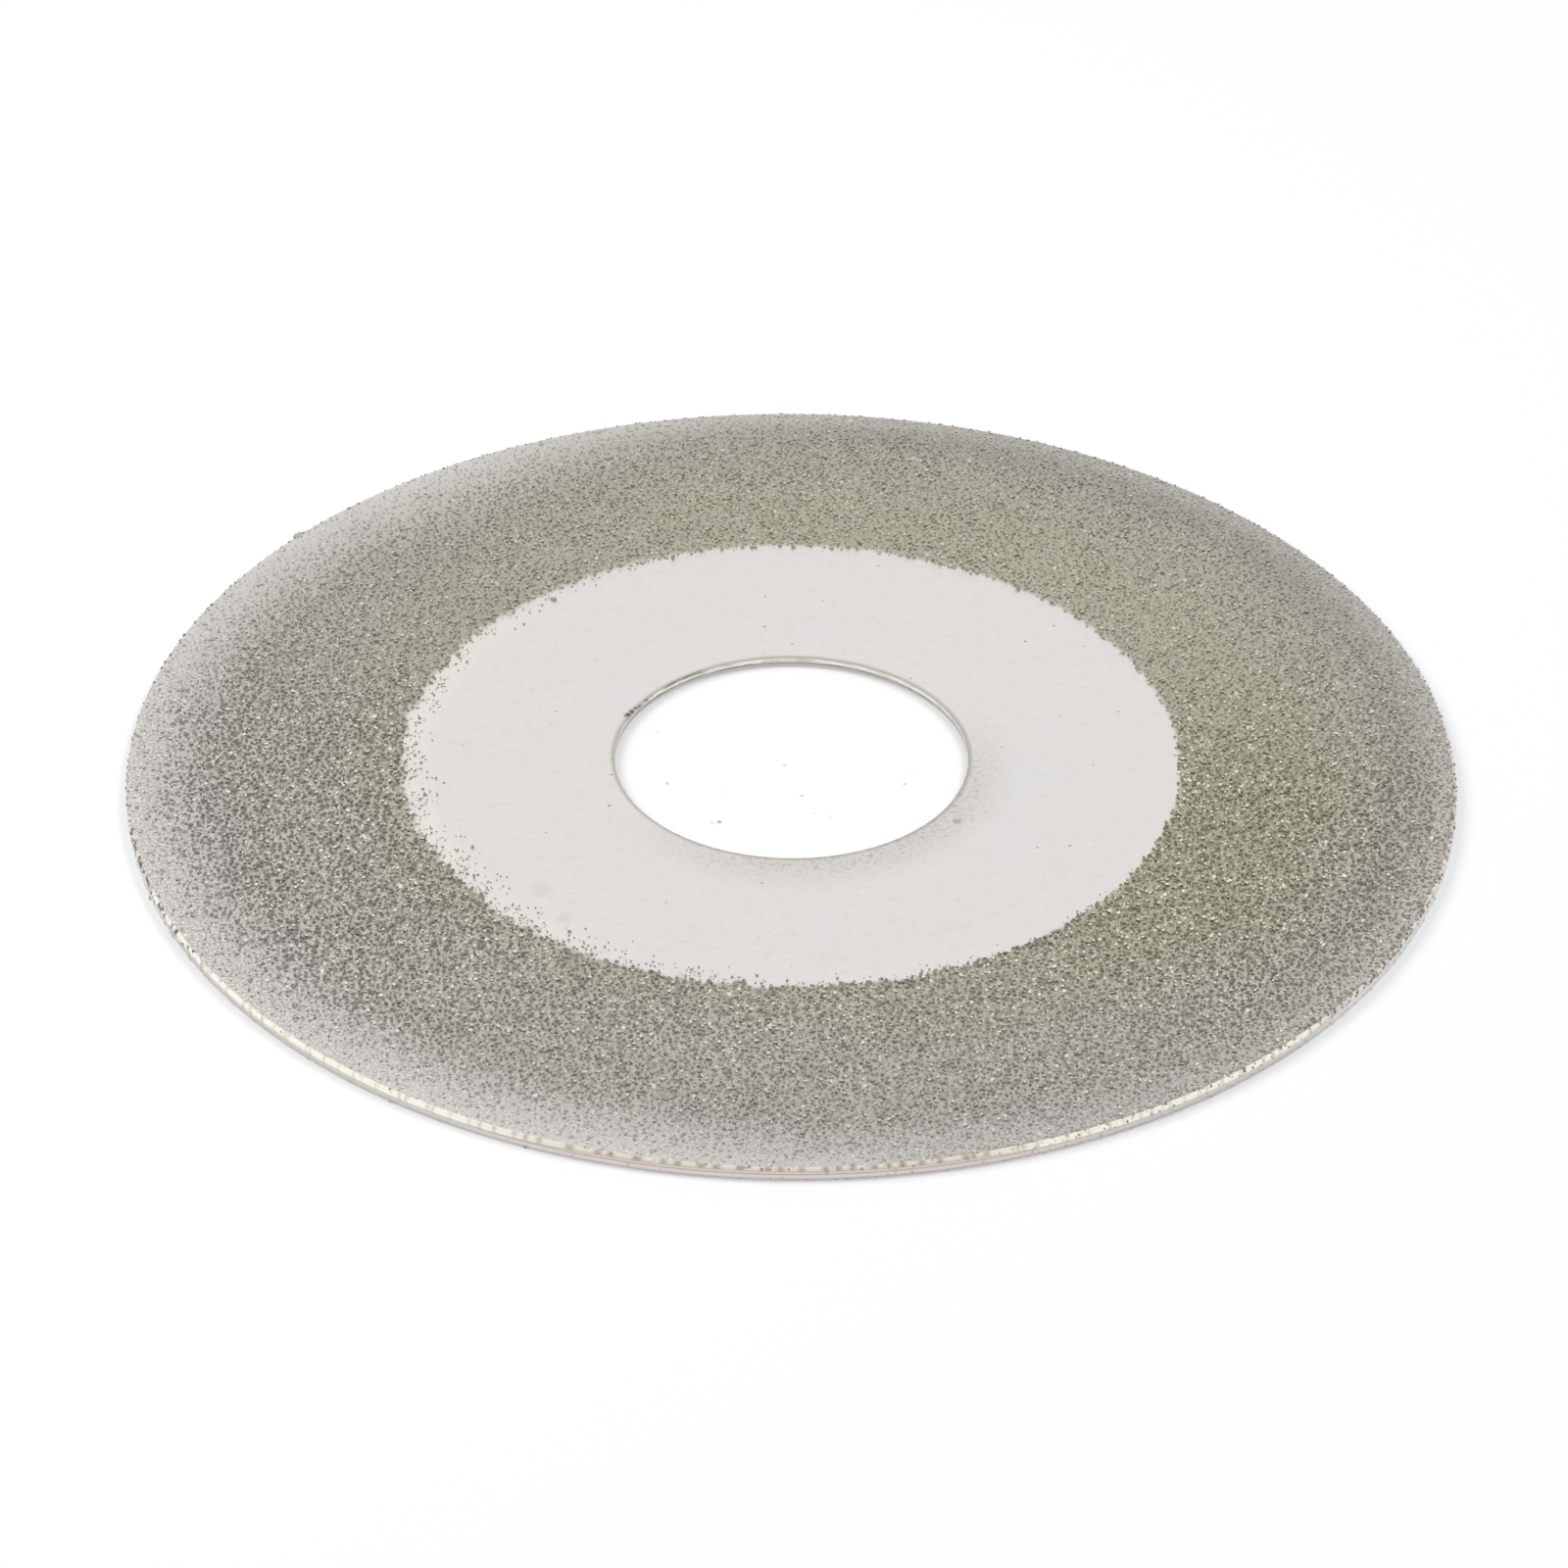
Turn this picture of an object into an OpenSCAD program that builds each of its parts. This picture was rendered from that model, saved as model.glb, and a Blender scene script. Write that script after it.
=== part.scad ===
// Diamond grinding wheel: a thin steel disc with nickel-bonded diamond on both faces and round the rim.
// +Z runs along the bore. The origin is on the bore's axis, on the surface that the wheel lies on.
// Each face is plated in a pass of its own, so the nickel is two coats that meet half-way down the rim.

/* [Wheel] */
// Outside diameter over the crystals of the rim
wheel_d = 75; // [70:1:150]
// Diameter of the bore, for the machine's arbor
bore_d = 20; // [10:0.5:30]
// Diameter of the bare centre, where the abrasive band begins
bare_d = 43.8; // [40:0.2:52]

/* [Steel core] */
// Thickness of the steel disc
core_t = 0.4; // [0.4:0.05:1.2]
// Radius that the punch rolled over at the bore's upper edge
rollover_r = 0.07; // [0.02:0.01:0.15]
// Height of the break at the bore's lower edge
break_h = 0.03; // [0.01:0.01:0.1]
// Depth that etching took off the steel where the nickel lies
etch_t = 0.02; // [0.01:0.01:0.05]

/* [Nickel coats] */
// Thickness of each coat over most of the band
coat_t = 0.13; // [0.08:0.01:0.3]
// Thickness of the nickel on the edge of the steel
rim_t = 0.22; // [0.1:0.01:0.5]
// Extra thickness that each coat gains towards the rim
build_up_t = 0.07; // [0.02:0.01:0.09]
// Width over which it gains it
build_up_w = 4.5; // [1:0.1:7]
// Radius of the shoulder between each coat's face and the rim
shoulder_r = 0.19; // [0.05:0.01:0.19]
// Radius of each coat's edge at the seam between the two
seam_r = 0.07; // [0.02:0.01:0.1]
// How far the nickel creeps past the outermost crystals of the band
creep_w = 0.06; // [0.02:0.01:0.2]

/* [Diamond] */
// Size of a crystal, 60 to 80 mesh
grain = 0.22; // [0.15:0.01:0.24]
// How far the band's crystals stand out of the coat
proud_t = 0.11; // [0.1:0.01:0.14]
// How far the rim's crystals stand out of it
rim_proud_t = 0.08; // [0.04:0.01:0.12]
// Distance between neighbours round the rim
rim_pitch = 0.65; // [0.4:0.05:2]

/* [Edge of the band] */
// Roughness of the band's inner edge where the mask sealed best
rag_least = 0.12; // [0.05:0.01:0.2]
// Roughness of it where the mask leaked most
rag_most = 0.4; // [0.2:0.05:0.8]
// Direction of the upper mask's worst leak, in degrees
leak_turn = 215; // [0:5:360]
// Width of the zone where stray crystals lie on the bare centre
stray_w = 2.2; // [0.5:0.1:3]
// Number of places on each face that may hold a stray crystal
stray_places = 420; // [50:10:600]

/* [Hidden] */
$fn = 720;

wheel_r = wheel_d / 2;
bore_r = bore_d / 2;
bare_r = bare_d / 2;
land_r = wheel_r - rim_proud_t;             // outer face of the nickel
core_r = land_r - rim_t;                    // outer edge of the steel
band_t = coat_t + proud_t;                  // coat and crystals on one face
rim_coat_t = coat_t + build_up_t;           // coat at its thickest, by the shoulder
core_bottom = band_t;                       // the lower band carries the steel at this height
core_top = core_bottom + core_t;
seam_depth = core_t / 2;                    // from the steel's face to the seam
coat_start_r = bare_r - rag_most - 2 * creep_w;
film_lap = 2 * grain;                       // film between the last stray crystal and the bare steel
mask_r = coat_start_r - film_lap - stray_w; // the mask sealed tightly inside this, over bare flat steel
notches = round(PI * bare_d / (2 * grain)); // the band's edge turns every second crystal
lower_turn = leak_turn + 140;               // the lower mask leaked on another side
upper_seed = 11;
lower_seed = 47;

// Least and most of what varies from one crystal to the next
crystal_size = [0.8, 1.05];                 // shares of grain
crystal_height = 0.9;                       // share of its own width
crystal_lean = [20, 65];
crystal_roll = [-30, 30];
rim_scatter = 0.3;                          // share of the pitch that a rim crystal may be off its place

// How the stray crystals thin out
stray_rows = 3;                             // neighbours lie in different rows, clear of each other
stray_least = 0.2;                          // share of the places filled where the mask sealed best
stray_fade = 1.4;                           // power by which they thin out towards the bore

function mix(low, high, share) = low + (high - low) * share;
function within(limits, share) = mix(limits[0], limits[1], share);
function polar(r, a) = [r * cos(a), r * sin(a)];

// Share of the worst leak that the mask has in direction a
function leak(a, turn) = pow((1 + cos(a - turn)) / 2, 2);

// Largest reach of the band's rough edge in direction a, to either side of bare_r
function rag(a, turn) = mix(rag_least, rag_most, leak(a, turn));

// The band's inner edge: one point per notch, drawn in by creep
function band_edge(seed, turn, creep) =
    let (rough = rands(-1, 1, notches, seed))
    [for (i = [0:notches - 1])
        let (a = 360 * i / notches)
        polar(bare_r + rag(a, turn) * rough[i] - creep, a)];

// Takes the square corner at the origin off to radius r, for a solid that lies below and to the left
module corner_cut(r) {
    translate([-r, -r]) difference() {
        square(2 * r);
        circle(r);
    }
}

// What shows of a blocky crystal that is half sunk in the face z = 0, trimmed at height proud and at
// reach to each side. Three numbers from 0 to 1 pick its size, lean and turn.
module crystal(pick, proud, reach) {
    size = grain * within(crystal_size, pick[0]);
    intersection() {
        rotate([within(crystal_lean, pick[1]), within(crystal_roll, pick[2]), 360 * pick[0]])
            cylinder(d = size, h = crystal_height * size, center = true, $fn = 6);
        translate([-reach, -reach, 0]) cube([2 * reach, 2 * reach, proud]);
    }
}

// Section of a coat, with z = 0 on the bare face of the steel. Under the edge of the mask the nickel is
// a film, flush with that face.
module coat_section() {
    difference() {
        polygon([
            [mask_r, -etch_t],
            [mask_r, 0],
            [coat_start_r, 0],
            [coat_start_r, coat_t],
            [land_r - build_up_w, coat_t],
            [land_r - shoulder_r, rim_coat_t],
            [land_r, rim_coat_t],
            [land_r, -seam_depth],
            [core_r, -seam_depth],
            [core_r, -etch_t]
        ]);
        translate([land_r, rim_coat_t]) corner_cut(shoulder_r);
        translate([land_r, -seam_depth]) mirror([0, 1]) corner_cut(seam_r);
    }
}

// Section of the carpet of crystals that stands out of a coat
module carpet_section() {
    polygon([
        [coat_start_r, coat_t],
        [coat_start_r, band_t],
        [land_r - shoulder_r, band_t],
        [land_r - shoulder_r, rim_coat_t],
        [land_r - build_up_w, coat_t]
    ]);
}

// Cuts a ring back to the rough edge of the band, above the face of the steel
module bare_opening(seed, turn, creep) {
    linear_extrude(2 * band_t) polygon(band_edge(seed, turn, creep));
}

module coat(seed, turn) {
    difference() {
        rotate_extrude() coat_section();
        bare_opening(seed, turn, creep_w);
    }
}

module carpet(seed, turn) {
    difference() {
        rotate_extrude() carpet_section();
        bare_opening(seed, turn, 0);
    }
}

// Crystals seated on the land between the shoulder and the seam
module rim_grains(seed) {
    count = round(2 * PI * wheel_r / rim_pitch);
    land_z = (rim_coat_t - shoulder_r + seam_r - seam_depth) / 2;
    picks = rands(0, 1, 4 * count, seed);
    for (i = [0:count - 1])
        rotate(360 * (i + rim_scatter * picks[4 * i + 3]) / count)
            translate([land_r, 0, land_z])
                rotate([0, 90, 0])
                    crystal(
                        [picks[4 * i], picks[4 * i + 1], picks[4 * i + 2]],
                        rim_proud_t,
                        seam_depth + land_z
                    );
}

// Crystals that slipped under the mask and lie on the film, thinning out towards the bore
module stray_grains(seed, turn) {
    picks = rands(0, 1, 5 * stray_places, seed);
    for (i = [0:stray_places - 1])
        let (
            a = 360 * i / stray_places,
            depth = (i % stray_rows + picks[5 * i + 3]) / stray_rows,
            kept = mix(stray_least, 1, leak(a, turn)) * pow(1 - depth, stray_fade)
        )
        if (picks[5 * i + 4] < kept)
            rotate(a)
                translate([coat_start_r + rag_most - rag(a, turn) - grain - depth * stray_w, 0, 0])
                    crystal([picks[5 * i], picks[5 * i + 1], picks[5 * i + 2]], band_t, grain);
}

// Places what is drawn on a face of the steel on its upper or its lower face
module on_upper_face() {
    translate([0, 0, core_top]) children();
}

module on_lower_face() {
    translate([0, 0, core_bottom]) mirror([0, 0, 1]) children();
}

module steel_core() {
    color("#dad6d1") translate([0, 0, core_bottom]) rotate_extrude() difference() {
        polygon([
            [bore_r, break_h],
            [bore_r + break_h, 0],
            [mask_r, 0],
            [mask_r, etch_t],
            [core_r, etch_t],
            [core_r, core_t - etch_t],
            [mask_r, core_t - etch_t],
            [mask_r, core_t],
            [bore_r, core_t]
        ]);
        translate([bore_r, core_t]) mirror([1, 0]) corner_cut(rollover_r);
    }
}

module upper_bond() {
    color("#cdc8c1") on_upper_face() coat(upper_seed, leak_turn);
}

module lower_bond() {
    color("#c8bfba") on_lower_face() coat(lower_seed, lower_turn);
}

module upper_grit() {
    color("#a5a392") on_upper_face() carpet(upper_seed, leak_turn);
}

module lower_grit() {
    color("#a5a392") on_lower_face() carpet(lower_seed, lower_turn);
}

module upper_rim_grains() {
    color("#e3d8c0") on_upper_face() rim_grains(upper_seed);
}

module lower_rim_grains() {
    color("#cfc2b4") on_lower_face() rim_grains(lower_seed);
}

module upper_stray_grains() {
    color("#8d8a7c") on_upper_face() stray_grains(upper_seed, leak_turn);
}

module lower_stray_grains() {
    color("#8d8a7c") on_lower_face() stray_grains(lower_seed, lower_turn);
}

steel_core();
upper_bond();
lower_bond();
upper_grit();
lower_grit();
upper_rim_grains();
lower_rim_grains();
upper_stray_grains();
lower_stray_grains();
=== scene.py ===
import math

import bpy
import numpy as np
from mathutils import Matrix, Vector
from mathutils.kdtree import KDTree


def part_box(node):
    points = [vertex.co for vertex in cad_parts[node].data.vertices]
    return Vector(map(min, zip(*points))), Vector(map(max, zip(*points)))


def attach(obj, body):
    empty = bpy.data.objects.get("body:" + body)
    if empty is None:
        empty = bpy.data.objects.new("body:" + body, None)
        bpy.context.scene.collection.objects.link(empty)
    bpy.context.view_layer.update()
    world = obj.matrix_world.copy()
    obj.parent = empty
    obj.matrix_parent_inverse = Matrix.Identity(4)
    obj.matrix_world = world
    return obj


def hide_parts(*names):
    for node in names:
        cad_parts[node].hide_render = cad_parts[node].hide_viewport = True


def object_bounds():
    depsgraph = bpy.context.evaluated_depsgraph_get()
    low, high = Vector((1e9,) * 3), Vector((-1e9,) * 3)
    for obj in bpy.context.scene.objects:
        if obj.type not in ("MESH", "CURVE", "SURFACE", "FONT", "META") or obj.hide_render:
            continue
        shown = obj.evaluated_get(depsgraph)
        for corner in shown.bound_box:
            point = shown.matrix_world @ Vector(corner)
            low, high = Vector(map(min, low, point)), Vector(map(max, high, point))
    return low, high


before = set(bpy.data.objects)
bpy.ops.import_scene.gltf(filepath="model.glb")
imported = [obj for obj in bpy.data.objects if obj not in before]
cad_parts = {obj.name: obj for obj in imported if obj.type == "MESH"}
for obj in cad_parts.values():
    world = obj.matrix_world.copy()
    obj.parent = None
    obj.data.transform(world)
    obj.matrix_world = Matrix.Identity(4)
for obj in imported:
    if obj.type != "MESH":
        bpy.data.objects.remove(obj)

mm = 0.001
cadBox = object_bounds()
scene = bpy.context.scene

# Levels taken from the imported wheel, in metres
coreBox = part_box("steel_core")
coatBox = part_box("upper_bond")
wheel = {
    "rim": cadBox[1].x,
    "top": cadBox[1].z,
    "faces": {"upper": coreBox[1].z, "lower": coreBox[0].z},
    "coreRim": coreBox[1].x,
    "land": coatBox[1].x,
    "seam": coatBox[0].z,
    "brim": coatBox[1].z - coreBox[1].z,  # coat at its thickest, from the steel's face
    "proud": cadBox[1].z - coreBox[1].z,  # crystal tips, from the steel's face
}


# Node helpers. Those that take no tree add to the one that their values come from.

def plug(socket, value):
    if isinstance(value, bpy.types.NodeSocket):
        socket.id_data.links.new(value, socket)
    else:
        socket.default_value = value


def newNode(tree, kind, inputs=(), **settings):
    # adds a node, plugs its inputs, named or counted, and gives back its outputs
    node = tree.nodes.new("ShaderNode" + kind)
    for name, value in settings.items():
        setattr(node, name, value)
    for label, value in dict(inputs).items():
        plug(node.inputs[label], value)
    return node.outputs


def calc(operation, *values):
    tree = next(value.id_data for value in values if isinstance(value, bpy.types.NodeSocket))
    return newNode(tree, "Math", enumerate(values), operation=operation)[0]


def times(first, *others):
    for other in others:
        first = calc("MULTIPLY", first, other)
    return first


def plus(first, second):
    return calc("ADD", first, second)


def less(first, second):
    return calc("SUBTRACT", first, second)


def flip(share):
    return less(1.0, share)


def most(first, second):
    return calc("MAXIMUM", first, second)


def distance(x, y):
    return calc("SQRT", plus(times(x, x), times(y, y)))


def swing(pattern, reach):
    # a pattern from 0 to 1 turned into one about 0
    return times(less(pattern, 0.5), reach)


def fade(value, start, end):
    # 0 before start and 1 after end, eased
    inputs = {"Value": value, "From Min": start, "From Max": end}
    return newNode(value.id_data, "MapRange", inputs, interpolation_type="SMOOTHSTEP")[0]


def blend(share, first, second, kind="MIX"):
    inputs = {"Factor": share, "A": first, "B": second}
    return newNode(share.id_data, "Mix", inputs, data_type="RGBA", blend_type=kind)["Result"]


def slide(share, first, second):
    return newNode(share.id_data, "Mix", {0: share, 2: first, 3: second}, data_type="FLOAT")[0]


def masked(tree, places, *masks):
    # masks multiplied: those given, and those that settings hold, each as its function and sizes
    return times(*masks, *(where(tree, *sizes) for where, *sizes in places))


def lay(tree, colour, paint, *masks):
    # lays a paint over a colour: a tint, its share and the places that it is kept to
    over, share, *places = paint
    return blend(times(masked(tree, places, *masks), share), colour, over)


def place(tree, of="Object"):
    return newNode(tree, "TexCoord")[of]


def parts(tree, of="Object"):
    return newNode(tree, "SeparateXYZ", {0: place(tree, of)})


def meshValue(tree, name):
    return newNode(tree, "Attribute", attribute_name=name)["Fac"]


def noise(tree, scale, detail=2.0, roughness=0.5, stretch=(1.0, 1.0, 1.0)):
    where = newNode(tree, "Mapping", {"Vector": place(tree), "Scale": stretch})[0]
    inputs = {"Vector": where, "Scale": scale, "Detail": detail, "Roughness": roughness}
    return newNode(tree, "TexNoise", inputs)["Fac"]


def newGroup(name, inputs, *outputs):
    # a socket whose name ends in Colour holds a colour, any other a value
    tree = bpy.data.node_groups.new(name, "ShaderNodeTree")
    for way, labels in (("INPUT", inputs), ("OUTPUT", outputs)):
        for label in labels:
            kind = "NodeSocketColor" if label.endswith("Colour") else "NodeSocketFloat"
            tree.interface.new_socket(label, in_out=way, socket_type=kind)
    return tree, tree.nodes.new("NodeGroupInput").outputs, tree.nodes.new("NodeGroupOutput").inputs


def useGroup(tree, name, **values):
    return newNode(tree, "Group", values, node_tree=bpy.data.node_groups[name])


def newMaterial(name, **fixed):
    material = bpy.data.materials.new(name)
    material.use_nodes = True
    tree = material.node_tree
    shader = tree.nodes["Principled BSDF"]
    for label, value in fixed.items():
        shader.inputs[label.replace("_", " ")].default_value = value
    return material, tree, shader.inputs


def addTooth(shader, height, strength, depth):
    inputs = {"Strength": strength, "Distance": depth, "Height": height}
    plug(shader["Normal"], newNode(height.id_data, "Bump", inputs)[0])


def tint(r, g, b):
    # a colour as it looks on screen, 0 to 255, turned into light values
    def light(level):
        level /= 255
        return level / 12.92 if level <= 0.04045 else ((level + 0.055) / 1.055) ** 2.4
    return (light(r), light(g), light(b), 1.0)


# Where a point lies on the wheel: millimetres from the axis and up, and how far it lies towards one side
def buildWheelPlace():
    tree, given, made = newGroup("wheelPlace", ("Toward",), "Radius", "Side", "Height")
    x, y, z = parts(tree)
    length = distance(x, y)
    angle = calc("RADIANS", given["Toward"])
    along = plus(times(x, calc("COSINE", angle)), times(y, calc("SINE", angle)))
    plug(made["Radius"], times(length, 1 / mm))
    plug(made["Side"], calc("DIVIDE", along, length))
    plug(made["Height"], times(z, 1 / mm))


def facing(tree, toward, start, end):
    # 0 on most of the wheel and 1 on the side that an angle points to; start and end are cosines
    return fade(useGroup(tree, "wheelPlace", Toward=toward)["Side"], start, end)


def facingAny(tree, sides):
    # the same for several sides, each with its share
    return most(*(times(facing(tree, *side), share) for *side, share in sides))


def beyond(tree, start, end):
    # 0 inside one radius and 1 outside the other, in millimetres
    return fade(useGroup(tree, "wheelPlace")["Radius"], start, end)


def within(tree, start, end):
    return flip(beyond(tree, start, end))


# Soft clouds of something thin: 0 clear, 1 covered
def buildClouds():
    tree, given, made = newGroup("clouds", ("Size", "Cover", "Softness"), "Mask")
    pattern = noise(tree, calc("DIVIDE", 1 / mm, given["Size"]), detail=4.0, roughness=0.55)
    level = flip(given["Cover"])
    plug(made["Mask"], fade(pattern, less(level, given["Softness"]), plus(level, given["Softness"])))


def cloud(tree, size, cover, softness):
    return useGroup(tree, "clouds", Size=size, Cover=cover, Softness=softness)["Mask"]


def haze(tree, size, cover, softness, low, high):
    # clouds between two levels
    return slide(cloud(tree, size, cover, softness), low, high)


def speck(tree, spacing, share, size):
    # scattered dots: one in each cell that the share picks
    inputs = {"Vector": place(tree), "Scale": 1 / mm / spacing}
    cells = newNode(tree, "TexVoronoi", inputs, voronoi_dimensions="2D")
    pick = newNode(tree, "SeparateColor", {0: cells["Color"]})
    reach = times(plus(pick[1], 0.5), size)
    dot = flip(fade(cells["Distance"], times(reach, 0.5), reach))
    return times(dot, calc("LESS_THAN", pick[0], share))


# One ragged spot about a point, in millimetres
def buildSpot(raggedness=0.9, core=0.15, end=0.65):
    tree, given, made = newGroup("spot", ("X", "Y", "Size"), "Mask")
    x, y = parts(tree)[:2]
    away = distance(less(times(x, 1 / mm), given["X"]), less(times(y, 1 / mm), given["Y"]))
    pattern = noise(tree, calc("DIVIDE", 2 / mm, given["Size"]), detail=3.0, roughness=0.6)
    away = plus(calc("DIVIDE", away, given["Size"]), swing(pattern, raggedness))
    plug(made["Mask"], flip(fade(away, core, end)))


def dab(tree, x, y, size):
    return useGroup(tree, "spot", X=x, Y=y, Size=size)["Mask"]


def streaks(tree, stretch):
    return noise(tree, 1.0, detail=3.0, roughness=0.6, stretch=stretch)


def streak(tree, stretch, start, end):
    return fade(streaks(tree, stretch), start, end)


# How olive the band looks, most at its inner edge and on one side, and how evened out its tones are.
# A side is the angle it lies at and the two cosines that it fades in between; a ring is two radii.
bandLook = {
    "oliveSide": (40.0, -0.9, 0.7),
    "oliveRing": (21.5, 35.2),  # it fades out over this
    "oliveShift": 4.5,  # and so much farther out on its own side
    "oliveDrift": 5.0,
    "oliveScale": 0.16,
    "oliveLeast": 0.5,
    "front": (270.0, 0.64, 0.99),
    "frontRing": (24.0, 33.0),
    "frontLeast": 0.4,
    "frontCalm": 0.55,
    "back": (85.0, -0.1, 0.6),
    "backCalm": 0.90,
}


def buildBandTone(look):
    tree, given, made = newGroup("bandTone", (), "Olive", "Calm")
    side = facing(tree, *look["oliveSide"])
    drift = swing(noise(tree, look["oliveScale"] / mm), look["oliveDrift"])
    radius = less(plus(useGroup(tree, "wheelPlace")["Radius"], drift), times(side, look["oliveShift"]))
    inner = flip(fade(radius, *look["oliveRing"]))
    plug(made["Olive"], times(inner, slide(side, look["oliveLeast"], 1.0)))
    outward = slide(beyond(tree, *look["frontRing"]), look["frontLeast"], 1.0)
    front = times(facing(tree, *look["front"]), outward, look["frontCalm"])
    plug(made["Calm"], most(front, times(facing(tree, *look["back"]), look["backCalm"])))


# Draws the colours of the band towards one even tone where it is calm, the dark ones most
evenLook = {
    "tones": (tint(171, 167, 160), tint(181, 178, 160)),  # grey and olive
    "pale": tint(222, 218, 214),
    "share": 0.6,
    # on one side the band is a little darker short of the rim
    "dusk": (tint(100, 98, 92), 0.15, (facing, 30.0, -0.2, 0.7), (beyond, 32.5, 34.5),
             (within, 35.6, 36.6)),
}


def buildEvenTone(look):
    tree, given, made = newGroup("evenTone", ("Colour", "Pale"), "Colour")
    tones = useGroup(tree, "bandTone")
    even = blend(given["Pale"], blend(tones["Olive"], *look["tones"]), look["pale"])
    colour = blend(times(tones["Calm"], look["share"]), given["Colour"], even)
    colour = blend(tones["Calm"], colour, even, "LIGHTEN")
    plug(made["Colour"], lay(tree, colour, look["dusk"]))


# Where the rim shines golden, and the stretches where a cream highlight is painted on it; elsewhere it is
# plain
rimLook = {
    "goldSide": (270.0, 0.86, 0.95),
    # the stretches with the painted cream highlight: angle, two cosines and share
    "highlightSides": ((226.0, 0.866, 0.970, 1.0), (303.0, 0.945, 0.980, 0.85)),
    # short stretches where dark grains break up the bright line
    "brokenSides": ((201.0, 0.968, 0.992, 1.0), (334.0, 0.960, 0.985, 0.75)),
    # the foot of the bright band, in millimetres up, elsewhere and on the stretches of painted highlight
    "foot": (0.64, 0.47),
    "footSoftness": (0.03, 0.20),
    "footLine": (0.02, 0.09),
    "bright": (tint(212, 208, 202), tint(207, 199, 186)),  # elsewhere and on the golden side
    # the painted highlight's colour
    "cream": tint(254, 250, 237),
    # the lower band: near white elsewhere, a painted reflection of the white table, and greyer under the
    # cream stretches, painted shade
    "low": (tint(226, 225, 224), tint(208, 205, 202)),  # elsewhere and under the cream stretches
    "lowGold": tint(220, 212, 208),
    "brown": tint(172, 155, 137),
}


def buildRimZones(look):
    tree, given, made = newGroup("rimZones", (), "Gold", "Highlight", "Line", "Broken", "Below",
                                 "BrightColour", "LowColour")
    gold = facing(tree, *look["goldSide"])
    cream = facingAny(tree, look["highlightSides"])
    below = less(slide(cream, *look["foot"]), useGroup(tree, "wheelPlace")["Height"])
    soft = slide(cream, *look["footSoftness"])
    plug(made["Gold"], gold)
    plug(made["Highlight"], cream)
    plug(made["Broken"], facingAny(tree, look["brokenSides"]))
    plug(made["Below"], fade(below, times(soft, -1.0), soft))
    plug(made["Line"], flip(fade(calc("ABSOLUTE", below), *look["footLine"])))
    # the upper band's colour, with the painted cream highlight on its stretches
    plug(made["BrightColour"], blend(cream, blend(gold, *look["bright"]), look["cream"]))
    # the lower band's colour: rose on the golden side, elsewhere a painted reflection of the table, and
    # painted shade under the highlight stretches
    plug(made["LowColour"], blend(gold, blend(cream, *look["low"]), look["lowGold"]))


buildWheelPlace()
buildClouds()
buildSpot()
buildBandTone(bandLook)
buildEvenTone(evenLook)
buildRimZones(rimLook)
print("groups ready")


# The satin face of the plated steel, also under the mask's edge where the film lies
bareFace = {
    "colour": tint(231, 226, 223),
    "tones": (
        (tint(228, 227, 225), 1.0, (cloud, 9.0, 0.45, 0.25)),
        # warm, darker patches towards the front: painted shade, in patches
        (tint(227, 221, 215), 0.7, (cloud, 2.6, 0.3, 0.2), (facing, 300.0, 0.1, 0.95)),
    ),
    "dusty": tint(172, 166, 157),
    "dust": ((within, 9.8, 13.6), (facing, 300.0, -0.10, 1.0), (haze, 0.30, 0.42, 0.14, 0.24, 0.76)),
    "marks": (
        (tint(223, 218, 213), 0.45, (cloud, 0.7, 0.42, 0.16)),
        (tint(223, 218, 213), 0.35, (streak, (600.0, 3200.0, 600.0), 0.54, 0.70)),  # all lying one way
    ),
    "stain": tint(182, 176, 152),
    "stains": ((20.06, 232.0, 0.9, 0.22), (11.23, 325.0, 0.55, 0.8), (18.9, 224.0, 1.4, 0.15)),
    "pit": (tint(150, 144, 134), 0.75),
    "pits": (1.7, 0.08, 0.045),
    "finePits": (0.6, 0.12, 0.12),
    "fineShare": 0.25,
    "toothScale": 9000.0,
    "film": (tint(236, 231, 226), 1.0, (beyond, 19.9, 21.3), (facing, 186.0, 0.45, 0.9),
             (cloud, 1.4, 0.6, 0.16)),
}


def buildBareMetal(look):
    tree, given, made = newGroup("bareMetal", (), "Colour", "Tooth", "Dirt")
    dust = masked(tree, look["dust"])
    pits = most(speck(tree, *look["pits"]), times(speck(tree, *look["finePits"]), look["fineShare"]))
    colour = look["colour"]
    for paint in look["tones"]:
        colour = lay(tree, colour, paint)
    colour = blend(dust, colour, look["dusty"])
    for paint in look["marks"]:
        colour = lay(tree, colour, paint)
    for radius, angle, size, strength in look["stains"]:
        turn = math.radians(angle)
        stain = dab(tree, radius * math.cos(turn), radius * math.sin(turn), size)
        colour = blend(times(stain, strength), colour, look["stain"])
    colour = lay(tree, colour, look["pit"], pits)
    plug(made["Colour"], lay(tree, colour, look["film"]))
    plug(made["Tooth"], noise(tree, look["toothScale"], detail=3.0, roughness=0.6))
    plug(made["Dirt"], most(pits, dust))


buildBareMetal(bareFace)


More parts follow.
